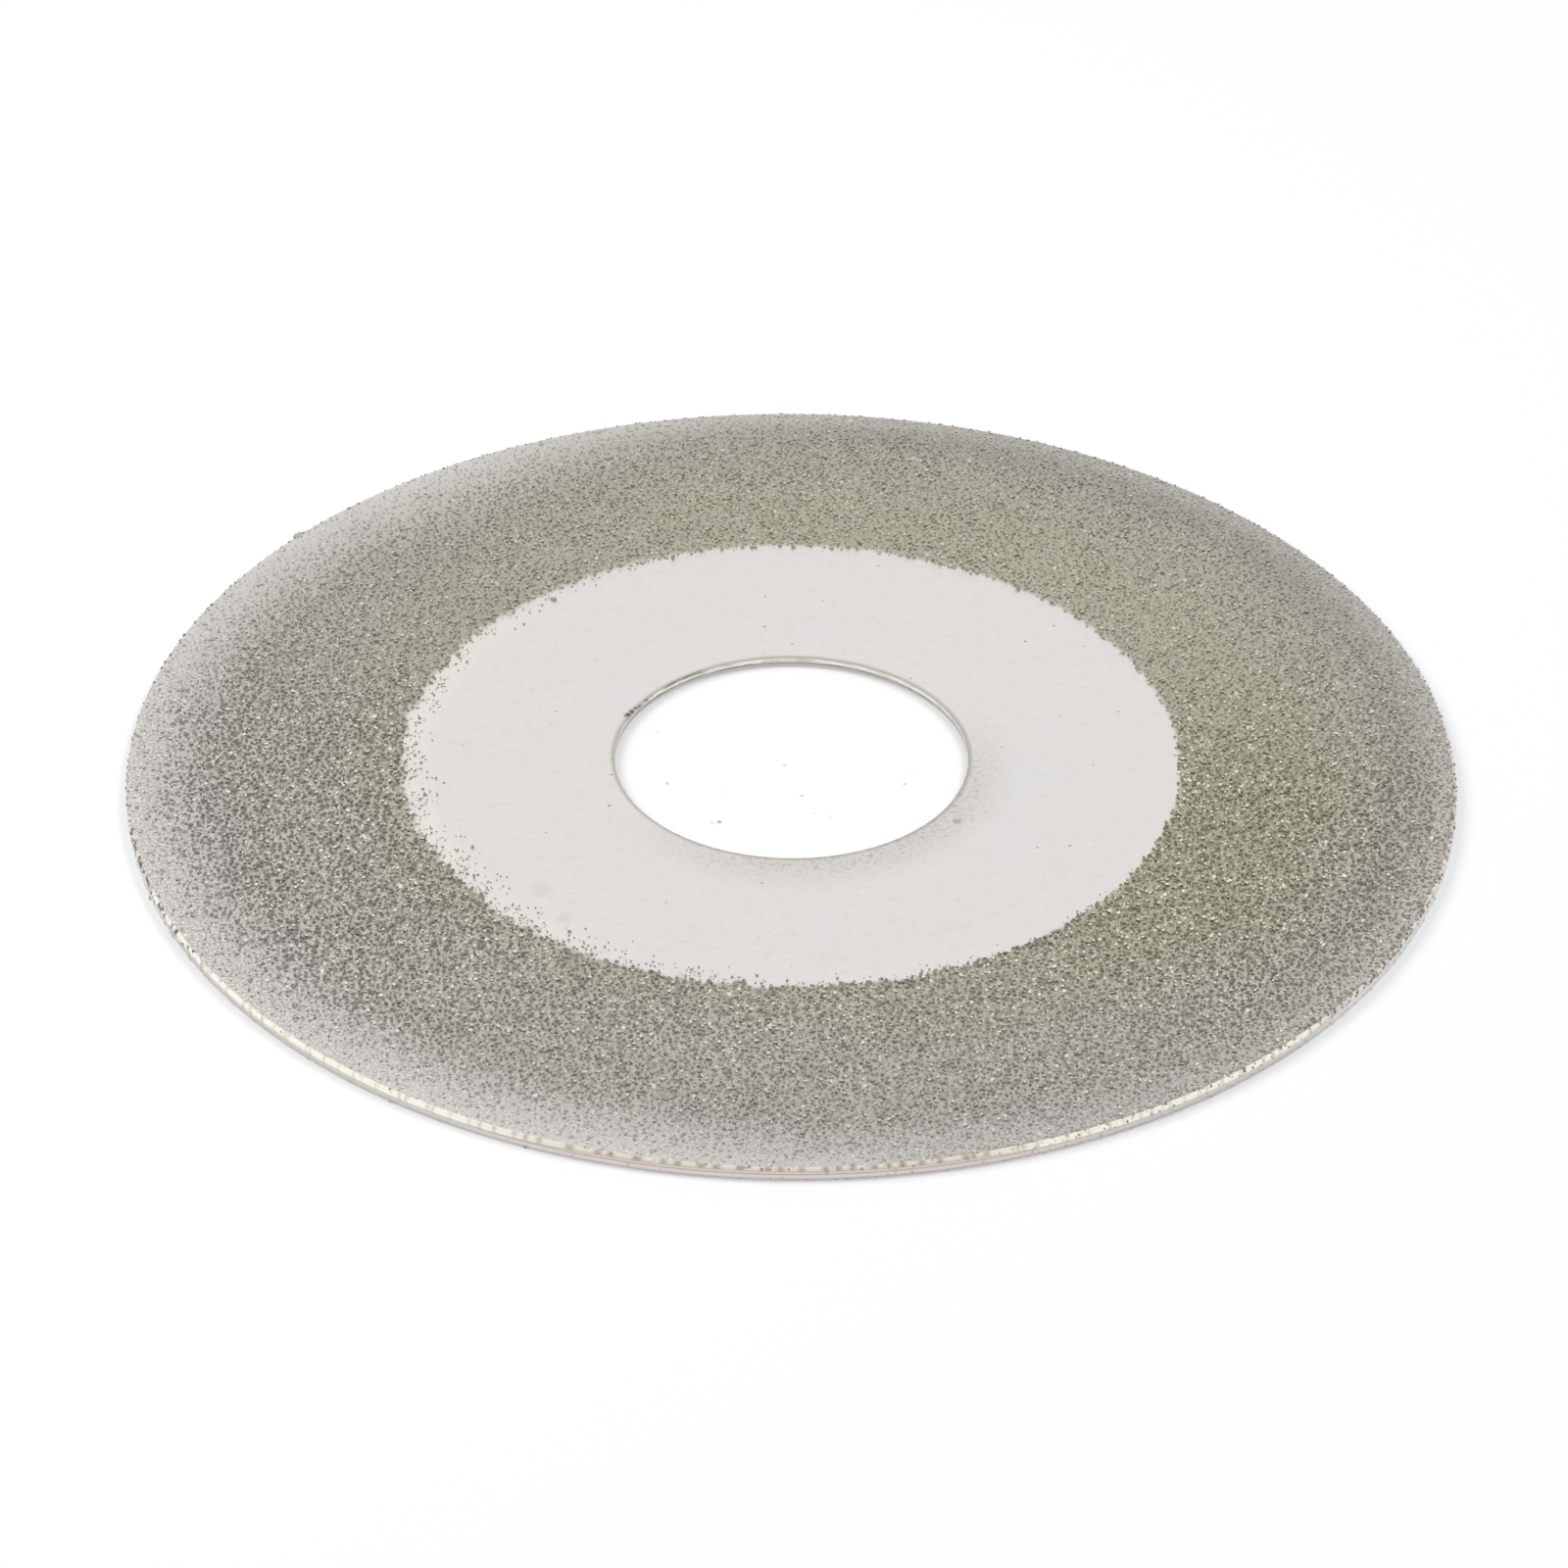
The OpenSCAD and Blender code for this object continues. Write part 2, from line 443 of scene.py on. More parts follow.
# The steel body: its satin faces, and the punched wall of the bore
steelLook = {
    "roughness": 0.42,
    "wallRoughness": 0.3,
    "dirtRoughness": 0.2,  # added where it is dirty
    "tooth": (0.25, 0.004 * mm),  # strength and depth
    "wall": (tint(238, 235, 227), tint(200, 194, 181)),  # between and on its streaks
    "wallLean": (0.2, 0.75),  # how level a surface may lie and still be wall
    "streakStretch": (900.0, 900.0, 3500.0),
    "streakLevels": (0.42, 0.66),
    "wallFoot": tint(144, 138, 131),  # the wall darker towards its foot
    "wallFootHeight": (0.30, 0.40),
    "wallFootRag": 0.3,
    # a darker ring on the face round the bore's rounded edge: painted shade
    "lip": (tint(172, 165, 156), 0.7, (within, 10.04, 10.36)),
    "nick": (tint(78, 72, 66), 0.9),
    "nickHeight": (0.46, 0.56),
    "nicks": ((-9.36, 3.98, 0.50), (-9.16, 4.30, 0.40), (-8.95, 4.66, 0.26)),  # x, y, size
    # a scratched stretch of the lip beside the nick
    "score": ((facing, 139.0, 0.92, 0.965), (within, 10.03, 10.09), (cloud, 0.6, 0.5, 0.08)),
    "scoreShare": 0.7,
}


def makeSteelMaterial(look):
    material, tree, shader = newMaterial("satinSteel", Metallic=1.0)
    bare = useGroup(tree, "bareMetal")
    height = useGroup(tree, "wheelPlace")["Height"]
    wall = flip(fade(calc("ABSOLUTE", parts(tree, "Normal")[2]), *look["wallLean"]))
    pattern = streaks(tree, look["streakStretch"])
    wallColour = blend(fade(pattern, *look["streakLevels"]), *look["wall"])
    # the wall darker towards its foot, up to a ragged height
    raggedEdge = plus(height, swing(pattern, look["wallFootRag"]))
    wallColour = blend(flip(fade(raggedEdge, *look["wallFootHeight"])), wallColour, look["wallFoot"])
    colour = blend(wall, bare["Colour"], wallColour)
    # painted shade on the face round the bore's edge
    colour = lay(tree, colour, look["lip"], flip(wall))
    nick = times(masked(tree, look["score"]), look["scoreShare"])
    for x, y, size in look["nicks"]:
        nick = most(nick, dab(tree, x, y, size))
    plug(shader["Base Color"], lay(tree, colour, look["nick"], nick, fade(height, *look["nickHeight"])))
    rough = slide(wall, look["roughness"], look["wallRoughness"])
    plug(shader["Roughness"], plus(rough, times(bare["Dirt"], look["dirtRoughness"])))
    addTooth(shader, bare["Tooth"], *look["tooth"])
    return material


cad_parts["steel_core"].data.materials.clear()
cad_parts["steel_core"].data.materials.append(makeSteelMaterial(steelLook))
print("steel dressed")


# The nickel: film, coat, rolled shoulder, land and seam
nickel = {
    "maskEdge": 18.70 * mm,  # the film starts here
    "bandEdge": 21.9 * mm,
    "etch": 0.02 * mm,
    "film": 0.002 * mm,
    "filmTuck": -0.004 * mm,  # the film's first ring dips into the steel
    "coat": 0.13 * mm,
    "buildUp": 4.5 * mm,  # width over which the coat thickens to the rim
    "shoulder": 0.19 * mm,
    "seamRadius": 0.07 * mm,
    "coreGap": 0.005 * mm,
    "rise": 0.7 * mm,  # the coat thins out to nothing over this width
    "rag": (0.10 * mm, 0.42 * mm),  # least and most roughness of the band's edge
    "ragPoints": ((620, 0.6), (130, 0.4)),  # points of its noise round the wheel, and their shares
    "ribs": 900,  # steps round the wheel
    "steps": {"film": 12, "band": 76, "shoulder": 8, "land": 4, "bead": 5},  # and along its section
    "climb": 0.03 * mm,  # nickel drawn up round each crystal
    "climbReach": 0.13 * mm,
    "ripple": 0.012 * mm,
    "smoothWidth": 0.8 * mm,  # relief fades out over this towards the shoulder
    "backRoom": 0.06,  # share of its room in the bake that the hidden back keeps
    "bandShare": 0.4,  # of the rise: the band's look is full from here on
    "metal": (tint(208, 205, 200), tint(186, 183, 158)),  # grey, and olive as the crystals about it
    "paleMetal": tint(239, 235, 231),  # the thick build-up by the rim
    "shade": (tint(153, 150, 145), tint(145, 142, 119)),
    "shadePatches": (0.14, 0.50, 0.10),
    "shadeShares": (0.85, 0.58),  # where the coat is thin and where it is thick
    "spark": (tint(238, 235, 220), tint(255, 252, 248)),  # the same
    "sparkPatches": (0.22, 0.37, 0.03),
    "sparkShares": (0.5, 0.8),  # on grey nickel and on olive
    "mudPatches": (0.35, 0.5, 0.25),
    "mudRoughness": 0.08,
    "mudTooth": 2.0,
    "roughness": 0.34,
    "tooth": (0.35, 0.006 * mm),  # strength and depth
}

# Each face was plated in its own pass, so each has its own leak, its own slip of the mask
# (how far, and towards which side) and its own random draws
passes = {
    "upper": {"leak": 208.0, "slip": 0.12 * mm, "slipToward": 100.0, "seed": 11},
    "lower": {"leak": 348.0, "slip": 0.08 * mm, "slipToward": 30.0, "seed": 47},
}
outward = {"upper": 1, "lower": -1}
chances = ("edge", "band", "strays", "carpet", "straySizes", "nickel", "rim", "pale")


def drawsOf(plating, chance):
    # each use of chance draws for itself
    return np.random.default_rng(plating["seed"] + chances.index(chance))


def towardShare(angles, toward):
    # 1 in one direction, falling to 0 in the opposite one
    return (1 + np.cos(angles - math.radians(toward))) / 2


def ringPlaces(radius, angles, level):
    return np.stack(np.broadcast_arrays(radius * np.cos(angles), radius * np.sin(angles), level), -1)


def ringNoise(rng, points, angles):
    # noise round the wheel that ends as it begins, -1 to 1
    levels = rng.uniform(-1, 1, points)
    return np.interp(np.mod(angles, 2 * math.pi), np.linspace(0, 2 * math.pi, points + 1),
                     np.append(levels, levels[0]))


def bandEdge(plating, angles):
    rng = drawsOf(plating, "edge")
    low, high = nickel["rag"]
    reach = low + (high - low) * towardShare(angles, plating["leak"]) ** 2
    rough = sum(share * ringNoise(rng, points, angles) for points, share in nickel["ragPoints"])
    slip = plating["slip"] * np.cos(angles - math.radians(plating["slipToward"]))
    return nickel["bandEdge"] + slip + reach * rough


def coatLevel(radius, edge):
    # height of the nickel over the steel's face, from the band's edge out to the shoulder
    start = wheel["land"] - nickel["buildUp"]
    end = wheel["land"] - nickel["shoulder"]
    share = np.clip((radius - start) / (end - start), 0, 1)
    rise = np.clip((radius - edge) / nickel["rise"], 0, 1)
    return nickel["coat"] * rise * (2 - rise) + (wheel["brim"] - nickel["coat"]) * share


mapMargin = 0.01  # of each flat map, on every side
creaseAngle = 50.0

# Diamond crystals
grit = {
    "density": 11.5,  # places for crystals on each square millimetre
    "jitter": 0.42,  # share of the spacing
    "width": (0.22 * mm, 0.40 * mm),
    "height": (0.04 * mm, 0.115 * mm),
    "heightDraw": (1.6, 1.6),  # shape of the draw between the two
    "sunk": 0.05 * mm,  # how deep the foot of a crystal stands in the nickel
    "skew": 0.28,  # how far a corner may turn, as a share of the turn between two
    "reach": (0.82, 1.12),  # of a corner, as a share of half the width
    "crown": (0.35, 0.85),  # top facet, as a share of the foot
    "crownShift": 0.16,  # share of the width
    "slope": 0.45,  # how much the top facet leans
    "least": 0.012 * mm,  # height that every corner of the top facet keeps
    "climb": (0.0, 1.0, 1.6),  # the material's height on the foot, the facet's edge and its middle
    "habits": ((4, 0.30), (5, 0.45), (6, 0.25)),  # corners, and the share that has as many
    "fringe": (0.05, 0.20),  # width of the thin edge of the band, and what the leak adds to it
    "fringeLoss": 0.5,
    "strayWidth": 2.2 * mm,
    "strayDensity": 24.0,
    "strayReach": (0.10, 1.25),  # the same for the strays
    "strayTaken": (0.25, 0.50),
    "straySize": (0.25, 0.70),  # of a full crystal
    "clump": 0.45 * mm,  # they lie in clumps of this size
    "clumping": (3.0, 0.9, 0.08),  # gain, what is taken off, and the least
    "flake": (21.4 * mm, 131.0, 1.5),  # one loose flake, well larger: radius, angle, size
    # what the build-up takes off: width, height, and crystals that lie wholly under it and need no solid
    "paleLoss": (0.25, 0.35, 0.40),
    "buried": (0.20, 1.15),  # how deep it buries one, as a share of the place's paleness
}

# One swollen spot of nickel and crystals on the upper shoulder
lumpLook = {
    "at": 142.4,
    "count": 14,
    "spread": 0.42 * mm,  # to each side along the rim
    "sunk": 0.05 * mm,
    "drop": (0.10 * mm, 0.34 * mm),
    "width": 0.42 * mm,
    "height": 0.46 * mm,
    "lowest": 0.1 * mm,
    "narrowing": 2.4,  # how fast it falls off along the rim
    "buried": 0.2,
}

# How the build-up by the rim buries the crystals. Its start is a radius in millimetres, less what the
# mask's leak, two nearby stretches and chance take off it.
paleLook = {
    "start": 35.4,
    "end": 38.5,
    "side": (-18.0, 2.2, 0.55),  # turn from the leak, gain, and what is taken off
    "sideWiden": 2.4,
    "stretches": ((-86.0, 1.8), (30.0, 1.0)),  # turn from the leak, and how much wider it is there
    "narrowness": 8,
    "drift": ((11, 0.5), (31, 0.3)),
    "driftWiden": 0.7,
    "least": 0.14,
    "most": 0.82,
}


def patches(rng, x, y, size):
    # smooth random patches over the face, 0 to 1
    half = int(wheel["rim"] / size) + 2
    grid = rng.uniform(0, 1, (2 * half + 2, 2 * half + 2))
    column, row = x / size + half, y / size + half
    i, j = column.astype(int), row.astype(int)
    u, v = column - i, row - j
    return ((grid[i, j] * (1 - u) + grid[i + 1, j] * u) * (1 - v)
            + (grid[i, j + 1] * (1 - u) + grid[i + 1, j + 1] * u) * v)


def paleShare(radius, angles, plating):
    # how far the crystals are buried, 0 to 1
    look = paleLook
    rng = drawsOf(plating, "pale")
    turn, gain, loss = look["side"]
    side = np.clip(gain * towardShare(angles, plating["leak"] + turn) - loss, 0, 1)
    start = look["start"] - look["sideWiden"] * side
    for turn, wider in look["stretches"]:
        start = start - wider * towardShare(angles, plating["leak"] + turn) ** look["narrowness"]
    drift = sum(share * ringNoise(rng, points, angles) for points, share in look["drift"])
    start = (start - look["driftWiden"] * drift) * mm
    ramp = np.clip((radius - start) / (look["end"] * mm - start), 0, 1)
    return (look["least"] + look["most"] * side) * ramp


def scatter(rng, density, inner, outer):
    # an even spread of places round the wheel, each a little off its spot
    spread = mm / math.sqrt(math.pi * density)
    turns = np.arange(int((inner / spread) ** 2), int((outer / spread) ** 2))
    radius = spread * np.sqrt(turns)
    angles = turns * math.pi * (3 - math.sqrt(5))
    wobble = rng.uniform(-1, 1, (2, len(turns))) * grit["jitter"] * mm / math.sqrt(density)
    radius = radius + wobble[0]
    return radius, np.mod(angles + wobble[1] / radius, 2 * math.pi)


def scatterBand(plating):
    rng = drawsOf(plating, "band")
    radius, angles = scatter(rng, grit["density"], nickel["bandEdge"] - nickel["rag"][1],
                             wheel["land"] - nickel["shoulder"])
    outward = (radius - bandEdge(plating, angles)) / mm
    least, more = grit["fringe"]
    fringe = least + more * towardShare(angles, plating["leak"]) ** 2
    loss = grit["fringeLoss"] * np.exp(-outward / fringe)
    chosen = (outward > 0) & (rng.uniform(0, 1, len(radius)) < 1 - loss)
    radius, angles = radius[chosen], angles[chosen]
    return radius, angles, paleShare(radius, angles, plating)


def scatterStrays(plating):
    rng = drawsOf(plating, "strays")
    innermost = nickel["bandEdge"] - nickel["rag"][1] - grit["strayWidth"]
    radius, angles = scatter(rng, grit["strayDensity"], innermost, nickel["bandEdge"] + nickel["rag"][1])
    inward = (bandEdge(plating, angles) - radius) / mm
    leak = towardShare(angles, plating["leak"])
    gain, loss, lowest = grit["clumping"]
    clump = patches(rng, radius * np.cos(angles), radius * np.sin(angles), grit["clump"])
    clump = np.clip(gain * clump - loss, lowest, 1)
    least, more = grit["strayReach"]
    thinned = np.exp(-(inward / (least + more * leak ** 2)) ** 2)
    least, more = grit["strayTaken"]
    chosen = (inward > 0) & (rng.uniform(0, 1, len(radius)) < (least + more * leak) * clump * thinned)
    return radius[chosen], angles[chosen]


def growCrystals(rng, places, frames, sizes, sides):
    # blocky crystals: a foot sunk in the nickel and a smaller, leaning top facet
    count = len(places)
    widths, heights, ceiling, buried = sizes
    skewed = np.arange(sides) + rng.uniform(-grit["skew"], grit["skew"], (count, sides))
    turn = 2 * math.pi * (skewed / sides + rng.uniform(0, 1, (count, 1)))
    reach = widths[:, None] / 2 * rng.uniform(*grit["reach"], (count, sides))
    flat = np.stack([reach * np.cos(turn), reach * np.sin(turn)], -1)
    crown = flat * rng.uniform(*grit["crown"], (count, 1, 1))
    shift = rng.uniform(-grit["crownShift"], grit["crownShift"], (count, 1, 2))
    crown = crown + shift * widths[:, None, None]
    lean = rng.normal(0, grit["slope"], (count, 1, 2))
    rise = heights[:, None] + (crown * lean).sum(-1)
    rise = np.clip(rise, grit["least"], ceiling[:, None])
    foot = np.concatenate([flat, np.full((count, sides, 1), -grit["sunk"])], -1)
    top = np.concatenate([crown, rise[:, :, None]], -1)
    peak = top.mean(1, keepdims=True)
    local = np.concatenate([foot, top, peak], 1)
    points = places[:, None, :] + np.einsum("nkc,ncd->nkd", local, frames)
    # walls in two triangles each, the top facet about its peak, and the foot
    ring = [(i, (i + 1) % sides) for i in range(sides)]
    pattern = [(i, j, sides + j) for i, j in ring] + [(i, sides + j, sides + i) for i, j in ring]
    pattern += [(sides + i, sides + j, 2 * sides) for i, j in ring] + [(0, j, i) for i, j in ring[1:-1]]
    corners = 2 * sides + 1
    faces = np.array(pattern) + (np.arange(count) * corners)[:, None, None]
    climb = np.repeat(grit["climb"], [sides, sides, 1])
    marks = {"climb": climb, "tone": rng.uniform(0, 1, (count, 1)), "buried": buried[:, None]}
    marks = {label: np.broadcast_to(values, (count, corners)).ravel() for label, values in marks.items()}
    return points.reshape(-1, 3), faces.reshape(-1, 3), marks


def joined(grown):
    # several points, faces and marks made into one
    points, faces, marks = zip(*grown)
    starts = np.cumsum([0] + [len(some) for some in points[:-1]])
    faces = np.concatenate([some + start for some, start in zip(faces, starts)])
    marks = {label: np.concatenate([mark[label] for mark in marks]) for label in marks[0]}
    return np.concatenate(points), faces, marks


def growMixed(rng, places, frames, *sizes):
    sizes = np.array(sizes)
    sides, shares = zip(*grit["habits"])
    habit = rng.choice(len(sides), len(places), p=shares)
    return joined([growCrystals(rng, places[habit == index], frames[habit == index],
                                sizes[:, habit == index], corners) for index, corners in enumerate(sides)])


def addThing(name, data):
    thing = bpy.data.objects.new(name, data)
    scene.collection.objects.link(thing)
    return thing


def makePiece(name, points, faces, material, replaced, marks, flatMap=None, smooth=False):
    mesh = bpy.data.meshes.new(name)
    mesh.from_pydata(points.tolist(), [], faces.tolist())
    mesh.validate()
    if smooth:
        mesh.shade_smooth()
        mesh.set_sharp_from_angle(angle=math.radians(creaseAngle))
    else:
        mesh.shade_flat()
    for label, values in marks.items():
        mesh.attributes.new(label, "FLOAT", "POINT").data.foreach_set("value", values.astype(np.float32))
    if flatMap is not None:
        layer = mesh.uv_layers.new(name="OFBake")
        layer.data.foreach_set("uv", flatMap.astype(np.float32).ravel())
    mesh.materials.append(material)
    piece = addThing(name, mesh)
    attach(piece, "root")
    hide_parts(*replaced)


def planMap(points, faces):
    # each corner's place seen from above, fitted to the unit square
    flat = points[:, :2]
    low = flat.min(0)
    size = (flat.max(0) - low).max() * (1 + 2 * mapMargin)
    return ((flat - low) / size + mapMargin)[faces.ravel()]


def standAlong(out, angles):
    # the axes of crystals that stand along out
    across = ringPlaces(1, angles + math.pi / 2, 0)
    return np.stack([across, np.cross(out, across), out], 1)


def growLump(rng, look):
    # a handful of crystals that lean out over the edge at one place
    count = look["count"]
    off = rng.uniform(-look["spread"], look["spread"], count)
    angles = np.radians(look["at"]) + off / wheel["land"]
    level = wheel["top"] - rng.uniform(*look["drop"], count)
    places = ringPlaces(wheel["land"] - look["sunk"], angles, level)
    frames = standAlong(ringPlaces(1, angles, 0), angles)
    widths = look["width"] * rng.uniform(0.8, 1.2, count)
    heights = look["height"] * (1 - look["narrowing"] * np.abs(off) / mm)
    heights = np.maximum(heights, look["lowest"]) * rng.uniform(0.8, 1.0, count)
    buried = np.full(count, look["buried"])
    grown = growMixed(rng, places, frames, widths, heights, heights * 1.2, buried)
    grown[0][:, 2] = np.minimum(grown[0][:, 2], wheel["top"])
    return grown


# Nickel on the sides of a crystal: it covers the foot and ends raggedly higher up
def buildPlatedSides(tearScale=14000.0, tear=0.5):
    tree, given, made = newGroup("platedSides", ("Climb", "Start", "End"), "Mask")
    raggedEdge = swing(noise(tree, tearScale, roughness=0.6), tear)
    plug(made["Mask"], flip(fade(plus(given["Climb"], raggedEdge), given["Start"], given["End"])))


buildPlatedSides()


def coverSides(tree, climb, start, end):
    return useGroup(tree, "platedSides", Climb=climb, Start=start, End=end)["Mask"]


gritLook = {
    # colours come in pairs, for the grey part of the band and the olive one
    "body": (tint(155, 152, 145), tint(158, 155, 128)),
    "deep": (tint(126, 124, 116), tint(130, 127, 105)),
    "deepTones": (0.20, 0.80),
    "brown": (tint(164, 151, 134), 0.6),  # a few are stained
    "brownPick": (17.0, 0.70, 0.75),
    "lit": (tint(250, 247, 239), tint(244, 241, 218)),  # top facets that catch the light
    "litFrom": (0.66, 0.50),  # the tones that do
    "litTo": (0.90, 0.74),
    "top": (0.95, 1.30),
    "glint": tint(251, 248, 231),
    "glintTones": (0.940, 0.945),
    "glintTop": (0.8, 1.1),
    "rust": (tint(138, 122, 112), 0.8, (facing, 336.0, 0.80, 0.97), (beyond, 30.5, 36.0)),
    "rustPick": (29.0, 0.55, 0.60),
    "plated": (0.42, 0.62),  # heights between which the nickel on the sides ends
    "buriedClimb": 1.1,  # and how much higher it goes where the crystal is buried
    "metallic": 0.9,
    "roughness": (0.34, 0.46),  # of the crystal and of the nickel on it
}


def pickSome(tone, mixing, start, end):
    # singles out some crystals, whatever their tone
    return fade(calc("FRACT", times(tone, mixing)), start, end)


def makeGritMaterial(look):
    material, tree, shader = newMaterial("diamondGrit", IOR=1.6)
    tone, climb, buried = (meshValue(tree, name) for name in ("tone", "climb", "buried"))
    green = useGroup(tree, "bandTone")["Olive"]
    body = blend(fade(tone, *look["deepTones"]), blend(green, *look["deep"]), blend(green, *look["body"]))
    body = lay(tree, body, look["brown"], pickSome(tone, *look["brownPick"]), green)
    lit = fade(tone, slide(green, *look["litFrom"]), slide(green, *look["litTo"]))
    body = blend(times(lit, fade(climb, *look["top"])), body, blend(green, *look["lit"]))
    glint = times(fade(tone, *look["glintTones"]), fade(climb, *look["glintTop"]))
    body = blend(glint, body, look["glint"])
    body = lay(tree, body, look["rust"], pickSome(tone, *look["rustPick"]))
    # nickel drawn up the sides, and right over the crystals that the build-up has buried
    plated = coverSides(tree, less(climb, times(buried, look["buriedClimb"])), *look["plated"])
    collar = blend(buried, blend(green, *nickel["metal"]), nickel["paleMetal"])
    colour = useGroup(tree, "evenTone", Colour=blend(plated, body, collar), Pale=buried)["Colour"]
    plug(shader["Base Color"], colour)
    plug(shader["Roughness"], slide(plated, *look["roughness"]))
    plug(shader["Metallic"], times(plated, look["metallic"]))
    return material


gritMaterial = makeGritMaterial(gritLook)
quarters = ("east", "north", "west", "south")


def growOnFace(rng, face, radius, angles, level, widths, heights, buried):
    places = ringPlaces(radius, angles, wheel["faces"][face] + outward[face] * level)
    frames = np.tile(np.diag([1.0, outward[face], outward[face]]), (len(radius), 1, 1))
    ceiling = wheel["proud"] - level
    return growMixed(rng, places, frames, widths, np.minimum(heights, ceiling), ceiling, buried)


def makeGrit(face, plating):
    rng = drawsOf(plating, "carpet")
    radius, angles, pale = scatterBand(plating)
    count = len(radius)
    level = coatLevel(radius, bandEdge(plating, angles))
    low, high = grit["height"]
    widthLoss, heightLoss, hidden = grit["paleLoss"]
    widths = rng.uniform(*grit["width"], count) * (1 - widthLoss * pale)
    heights = (low + (high - low) * rng.beta(*grit["heightDraw"], count)) * (1 - heightLoss * pale)
    inSight = rng.uniform(0, 1, count) < 1 - hidden * pale
    buried = pale * rng.uniform(*grit["buried"], count)
    sizes = np.array([radius, angles, level, widths, heights, buried])
    quarter = ((angles + math.pi / 4) // (math.pi / 2)).astype(int) % 4
    for index, side in enumerate(quarters):
        grown = [growOnFace(rng, face, *sizes[:, (quarter == index) & inSight])]
        if face == "upper" and side == "west":
            grown.append(growLump(rng, lumpLook))
        points, faces, marks = joined(grown)
        makePiece(f"{face}_grit_{side}", points, faces, gritMaterial, [f"{face}_grit"],
                  marks=marks, flatMap=planMap(points, faces))
    print(face, "crystals:", count, "of them in sight:", int(inSight.sum()))
    return radius, angles


def makeStrays(face, plating):
    rng = drawsOf(plating, "straySizes")
    radius, angles = scatterStrays(plating)
    count = len(radius)
    size = rng.uniform(*grit["straySize"], count)
    if face == "upper":
        flakeRadius, flakeAngle, size[0] = grit["flake"]
        radius[0], angles[0] = flakeRadius, math.radians(flakeAngle)
    points, faces, marks = growOnFace(rng, face, radius, angles, np.zeros(count),
                                      rng.uniform(*grit["width"], count) * size,
                                      rng.uniform(*grit["height"], count) * size, np.zeros(count))
    marks["tone"] = 0.5 + 0.45 * marks["tone"]  # no dark ones
    makePiece(f"{face}_strays", points, faces, gritMaterial, [f"{face}_stray_grains"],
              marks=marks, flatMap=planMap(points, faces))
    print(face, "strays:", count)


# What lies over the rim's zones; brown and cream are theirs
rimPaint = {
    # spacing, width, width of the dark core, waver, and the gap's start and end
    "marks": (0.9, 0.18, 0.036, 0.22, (0.10, 0.38)),
    # painted cream highlights on the beads
    "beadHighlights": (rimLook["cream"], 0.55),  # between the marks, on the golden side
    "bars": (rimLook["brown"], 1.0, (haze, 1.3, 0.50, 0.20, 0.35, 1.0)),
    "barShares": (0.85, 0.40),  # elsewhere and on the cream stretches
    # cream flecks between the dark grains: painted highlight
    "highlightFlecks": (rimLook["cream"], 0.9, (cloud, 0.60, 0.50, 0.04)),
    "grains": (tint(104, 93, 82), 0.9, (cloud, 0.46, 0.46, 0.03)),
    "line": (rimLook["brown"], 0.50),
    "seam": (rimLook["brown"], 0.08),
    "seamReach": (0.02, 0.06),
    "ring": (37.24, 37.32),  # the shoulder starts here
    # a broken line where the face turns into the shoulder, on one side
    "contour": (rimLook["brown"], 0.8, (beyond, 37.08, 37.14), (within, 37.22, 37.28),
                (facing, 322.0, 0.6, 0.95), (cloud, 0.8, 0.55, 0.08)),
}


def rimMarks(tree, spacing, width, core, waver, gap):
    # marks round the rim, one at a random place in each spacing, and the stretches between them
    x, y = parts(tree)[:2]
    along = times(calc("ARCTAN2", y, x), wheel["land"] / mm / spacing)
    inputs = {"W": plus(along, swing(noise(tree, 4.0 / mm), waver)), "Scale": 1.0}
    away = newNode(tree, "TexVoronoi", inputs, voronoi_dimensions="1D")["Distance"]
    return flip(fade(times(away, spacing), core, width)), fade(away, *gap)


def paintRim(tree, face, look):
    zones = useGroup(tree, "rimZones")
    gold, cream, broken = zones["Gold"], zones["Highlight"], zones["Broken"]
    mark, between = rimMarks(tree, *look["marks"])
    # painted cream highlights on the beads between the marks, on the golden side
    colour = lay(tree, zones["BrightColour"], look["beadHighlights"], between, gold)
    colour = lay(tree, colour, look["bars"], mark, slide(cream, *look["barShares"]))
    # painted highlight flecks on the broken stretches
    colour = lay(tree, colour, look["highlightFlecks"], broken, broken)
    colour = lay(tree, colour, look["grains"], broken)
    # below the foot: the lower band's painted reflection and painted shade
    colour = blend(zones["Below"], colour, zones["LowColour"])
    colour = lay(tree, colour, look["line"], zones["Line"], gold, flip(cream))
    offSeam = calc("ABSOLUTE", less(useGroup(tree, "wheelPlace")["Height"], wheel["seam"] / mm))
    colour = lay(tree, colour, look["seam"], flip(fade(offSeam, *look["seamReach"])))
    return lay(tree, blend(beyond(tree, *look["ring"]), face, colour), look["contour"])


